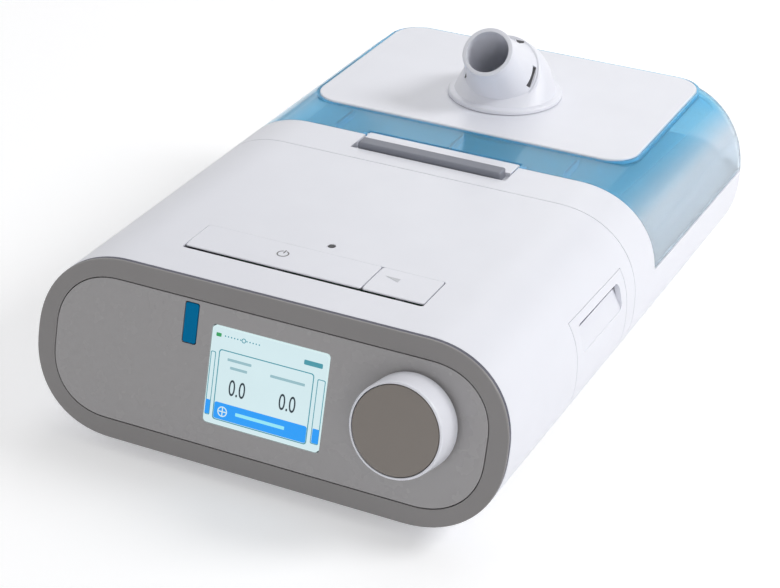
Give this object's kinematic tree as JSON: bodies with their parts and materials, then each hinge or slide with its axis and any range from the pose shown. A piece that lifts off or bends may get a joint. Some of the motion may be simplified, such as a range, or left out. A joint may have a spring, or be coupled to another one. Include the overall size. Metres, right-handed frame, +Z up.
{
  "type": "cpap machine",
  "caption": "Bedside CPAP machine with a front display and dial, top keys, and an attached heated humidifier with a hinged clear lid and a swivel hose elbow.",
  "frame": {"origin": "middle of the machine's outline, on the surface that its feet stand on", "axes": "+X to the right as the front panel is seen, +Y back from the front panel to the humidifier, +Z up"},
  "size_m": [0.193, 0.2996, 0.114],
  "materials": {
    "white_shell": "satin white moulded plastic",
    "warm_grey": "satin warm grey moulded plastic",
    "panel_grey": "glossy warm grey front lens",
    "cap_grey": "matt warm grey",
    "latch_grey": "matt cool grey",
    "screen_pale": "lit display behind a clear window",
    "blue_light": "blue window",
    "clear_blue": "clear blue moulded plastic",
    "clear_tub": "clear moulded plastic",
    "dark_plastic": "black moulded plastic",
    "board_green": "circuit board",
    "steel": "plain steel",
    "aluminium": "plain aluminium",
    "soft_grey": "matt grey rubber",
    "seal_white": "soft silicone",
    "filter_blue": "blue filter foam",
    "card_blue": "blue memory card"
  },
  "bodies": {
    "housing": {"top_cover": "white_shell", "bottom_case": "white_shell", "front_bezel": "warm_grey", "front_lens": "panel_grey", "status_light": "blue_light", "display_glass": "screen_pale", "display_module": "dark_plastic", "main_board": "board_green", "dial_encoder": "dark_plastic", "key_board": "board_green", "therapy_switch": "dark_plastic", "ramp_switch": "dark_plastic", "sensor_lens": "dark_plastic", "filter_bay": "white_shell", "air_filter": "filter_blue", "memory_card": "card_blue", "card_socket": "steel", "blower_housing": "dark_plastic", "blower_cover": "dark_plastic", "blower_motor": "steel", "blower_mount_1": "soft_grey", "blower_mount_2": "soft_grey", "blower_mount_3": "soft_grey", "outlet_duct": "dark_plastic", "humidifier_duct": "seal_white", "case_screw_1": "steel", "case_screw_2": "steel", "case_screw_3": "steel", "case_screw_4": "steel", "foot_1": "soft_grey", "foot_2": "soft_grey", "foot_3": "soft_grey", "foot_4": "soft_grey", "foot_5": "soft_grey", "foot_6": "soft_grey", "humidifier_base": "white_shell", "heater_plate": "aluminium", "power_inlet": "dark_plastic", "hinge_pin": "steel", "tank_body": "clear_tub", "tank_seal": "seal_white", "tank_lid": "clear_tub"},
    "lid": {"lid_shell": "clear_blue", "lid_plate": "white_shell", "dry_box": "clear_tub", "dry_box_seal": "seal_white"},
    "latch": {"latch_lever": "white_shell", "latch_grip": "latch_grey"},
    "elbow": {"elbow": "white_shell", "elbow_contact": "white_shell"},
    "dial_press": {"dial_plunger": "dark_plastic"},
    "dial": {"dial_knob": "white_shell", "dial_cap": "cap_grey", "dial_shaft": "steel"},
    "therapy_key": {"therapy_button": "white_shell"},
    "ramp_key": {"ramp_button": "white_shell"},
    "filter_flap": {"filter_door": "white_shell"},
    "blower_rotor": {"impeller": "aluminium", "impeller_axle": "steel"}
  },
  "joints": [
    {"name": "lid_hinge", "type": "hinge", "parent": "housing", "child": "lid", "pos_m": [0, 0.14687, 0.0457], "axis": [-1, 0, 0], "range_deg": [0, 95]},
    {"name": "latch_lift", "type": "hinge", "parent": "lid", "child": "latch", "pos_m": [0, 0.02271, 0.0751], "axis": [-1, 0, 0], "range_deg": [0, 28], "stiffness_Nm_per_rad": 0.05},
    {"name": "elbow_swivel", "type": "hinge", "parent": "lid", "child": "elbow", "pos_m": [0, 0.08785, 0.07917], "axis": [0, -0.027, 0.9996], "range_deg": [-90, 90]},
    {"name": "dial_push", "type": "slide", "parent": "housing", "child": "dial_press", "axis": [0, 0.9767, -0.2147], "range_m": [0, 0.001], "stiffness_N_per_m": 1500},
    {"name": "dial_turn", "type": "hinge", "parent": "dial_press", "child": "dial", "pos_m": [0.0596, -0.13185, 0.04265], "axis": [0, -0.9767, 0.2147], "continuous": true},
    {"name": "therapy_press", "type": "hinge", "parent": "housing", "child": "therapy_key", "pos_m": [0, -0.08413, 0.07371], "axis": [1, 0, 0], "range_deg": [0, 2.3], "stiffness_Nm_per_rad": 0.8},
    {"name": "ramp_press", "type": "hinge", "parent": "housing", "child": "ramp_key", "pos_m": [0, -0.08413, 0.07371], "axis": [1, 0, 0], "range_deg": [0, 2.3], "stiffness_Nm_per_rad": 0.8},
    {"name": "filter_door_hinge", "type": "hinge", "parent": "housing", "child": "filter_flap", "pos_m": [0.09203, -0.03913, 0.059], "axis": [0, -1, 0], "range_deg": [0, 75]},
    {"name": "blower_spin", "type": "hinge", "parent": "housing", "child": "blower_rotor", "pos_m": [-0.0215, -0.05663, 0.03], "axis": [0, 0, 1], "continuous": true}
  ]
}
